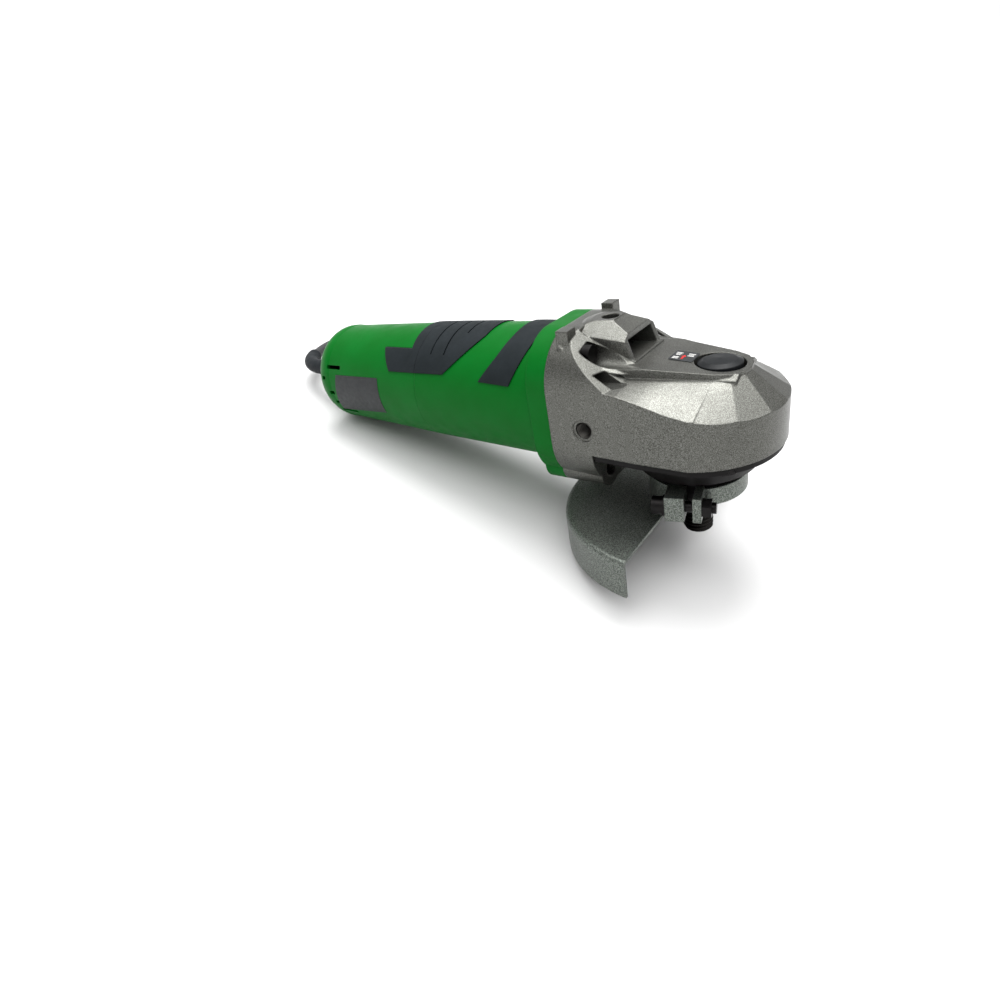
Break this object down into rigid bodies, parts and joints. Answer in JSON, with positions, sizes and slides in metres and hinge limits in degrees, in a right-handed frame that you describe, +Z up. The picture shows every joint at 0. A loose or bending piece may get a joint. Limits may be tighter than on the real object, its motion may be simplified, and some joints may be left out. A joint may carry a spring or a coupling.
{
  "type": "angle grinder",
  "caption": "Corded angle grinder with open wheel guard, threaded spindle, spindle lock button, slide switch and handle sockets.",
  "frame": {"origin": "middle of the tool's footprint, on the surface it stands on with the guard's rim and the tail down; the cord is left out of the footprint", "axes": "+X towards the gear head, +Y the user's left, +Z up; the motor shaft points forward and up by 13.23 degrees"},
  "size_m": [0.3414, 0.2043, 0.1081],
  "materials": {
    "green_shell": "satin moulded plastic",
    "soft_grip": "matte soft-touch rubber",
    "badge": "matte dark grey",
    "dark_screw": "blackened steel",
    "cast_aluminium": "die-cast, fine grain",
    "gasket_paper": "pressed fibre",
    "black_cast": "black powder coat",
    "label": "black film",
    "black_plastic": "satin",
    "steel": "ground",
    "spring_steel": "drawn wire",
    "black_rubber": "matte",
    "gear_steel": "machined and greased",
    "bearing_steel": "ground and polished",
    "bronze": "sintered",
    "laminated_steel": "stacked sheets",
    "copper": "varnished wire",
    "white_plastic": "moulded",
    "brass_box": "stamped",
    "carbon": "pressed carbon",
    "capacitor": "potted",
    "cord": "extruded jacket",
    "silver_painted_steel": "silver paint",
    "black_screw": "black oxide",
    "tie": "hook-and-loop tape",
    "plug": "moulded",
    "pins": "nickel-plated"
  },
  "bodies": {
    "tool": {"air_baffle": "black_plastic", "arrow_label": "label", "badge_plates": "badge", "bearing_cover": "black_cast", "bearing_plate": "steel", "brush_holders": "brass_box", "brush_springs": "spring_steel", "button_seal": "black_rubber", "capacitor": "capacitor", "carbon_brushes": "carbon", "case_screws": "dark_screw", "clamp_bar_screws": "dark_screw", "cord_clamp": "black_plastic", "cord_coil": "cord", "cord_tie": "tie", "cord_tube": "cord", "cover_screws": "dark_screw", "front_bearing": "bearing_steel", "front_stripe": "soft_grip", "gasket": "gasket_paper", "gear_case": "cast_aluminium", "inner_cord": "cord", "lock_spring": "spring_steel", "main_grip": "soft_grip", "motor_housing": "green_shell", "plate_screws": "dark_screw", "plug_body": "plug", "plug_pins": "pins", "rear_bearing": "bearing_steel", "rear_grip_left": "soft_grip", "rear_grip_right": "soft_grip", "spindle_bearing": "bearing_steel", "spindle_bush": "bronze", "stator_coils": "copper", "stator_core": "laminated_steel", "stator_screws": "dark_screw", "strain_relief": "black_rubber", "switch_body": "black_plastic", "tail_cover": "green_shell", "tail_screw": "dark_screw"},
    "armature": {"armature_shaft": "steel", "pinion": "gear_steel", "pinion_nut": "steel", "armature_core": "laminated_steel", "armature_windings": "copper", "commutator": "copper", "cooling_fan": "white_plastic"},
    "spindle": {"spindle": "steel", "ring_gear": "gear_steel", "gear_key": "steel", "spindle_circlip": "spring_steel"},
    "lock_button": {"lock_button": "black_plastic", "lock_pin": "steel"},
    "switch": {"switch_knob": "black_plastic", "switch_rod": "steel"},
    "guard": {"wheel_guard": "silver_painted_steel", "guard_band": "silver_painted_steel", "clamp_screw": "black_screw", "clamp_nut": "steel"}
  },
  "joints": [
    {"name": "armature_spin", "type": "hinge", "parent": "tool", "child": "armature", "pos_m": [0.03216, 0, 0.05758], "axis": [0.9735, 0, 0.2289], "continuous": true},
    {"name": "spindle_spin", "type": "hinge", "parent": "tool", "child": "spindle", "pos_m": [0.13151, 0, 0.05012], "axis": [-0.2289, 0, 0.9735], "continuous": true},
    {"name": "lock_press", "type": "slide", "parent": "tool", "child": "lock_button", "axis": [0.2289, 0, -0.9735], "range_m": [0, 0.0045], "stiffness_N_per_m": 900, "springref_m": -0.003, "deforming": ["lock_spring"]},
    {"name": "switch_slide", "type": "slide", "parent": "tool", "child": "switch", "axis": [0.9735, 0, 0.2289], "range_m": [0, 0.007]},
    {"name": "guard_turn", "type": "hinge", "parent": "tool", "child": "guard", "pos_m": [0.13288, 0, 0.04428], "axis": [-0.2289, 0, 0.9735], "range_deg": [-50, 130]}
  ],
  "couplings": [
    {"joint": "spindle_spin", "follows": "armature_spin", "ratio": -0.26829}
  ]
}
